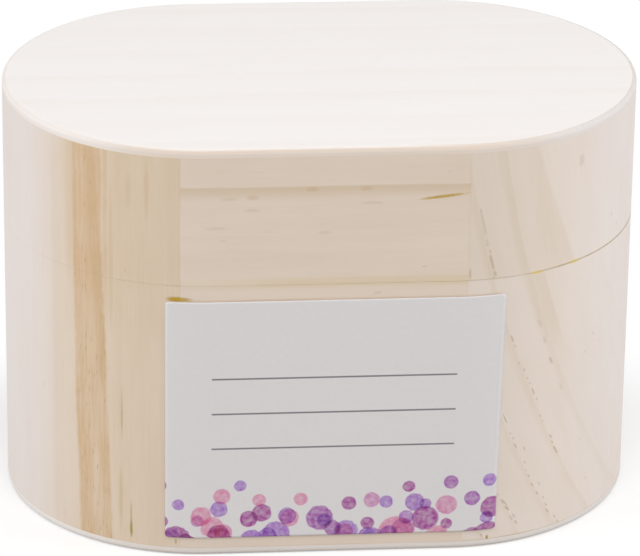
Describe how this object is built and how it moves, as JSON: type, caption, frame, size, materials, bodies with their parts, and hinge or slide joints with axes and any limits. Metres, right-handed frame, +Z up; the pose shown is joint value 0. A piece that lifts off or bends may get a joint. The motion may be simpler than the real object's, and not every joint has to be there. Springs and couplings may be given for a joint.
{
  "type": "hinged wooden box",
  "caption": "Small plain wooden box with round ends and a flush sawn lid on brass butt hinges, with a paper label on its front.",
  "frame": {"origin": "middle of the flat underside, on the table", "axes": "+Z up, +X along the long side towards the right end, front wall with the label facing -Y, hinges at +Y"},
  "size_m": [0.1, 0.0639, 0.069],
  "materials": {
    "end_timber": "sanded, bare, upright grain",
    "board_timber": "sanded, bare, level grain",
    "panel_timber": "sanded, bare, thin sheet",
    "hinge_brass": "rolled sheet, satin",
    "label_paper": "coated paper, satin"
  },
  "bodies": {
    "base": {"base_front_board": "board_timber", "base_back_board": "board_timber", "base_left_end": "end_timber", "base_right_end": "end_timber", "base_bottom_panel": "panel_timber", "left_hinge_base_leaf": "hinge_brass", "right_hinge_base_leaf": "hinge_brass", "left_hinge_pin": "hinge_brass", "right_hinge_pin": "hinge_brass", "left_hinge_base_nails": "hinge_brass", "right_hinge_base_nails": "hinge_brass", "front_label": "label_paper"},
    "lid": {"lid_top_panel": "panel_timber", "lid_front_board": "board_timber", "lid_back_board": "board_timber", "lid_left_end": "end_timber", "lid_right_end": "end_timber", "left_hinge_lid_leaf": "hinge_brass", "right_hinge_lid_leaf": "hinge_brass", "left_hinge_lid_nails": "hinge_brass", "right_hinge_lid_nails": "hinge_brass"}
  },
  "joints": [
    {"name": "lid_hinge", "type": "hinge", "parent": "base", "child": "lid", "pos_m": [0, 0.0315, 0.0465], "axis": [-1, 0, 0], "range_deg": [0, 180]}
  ]
}
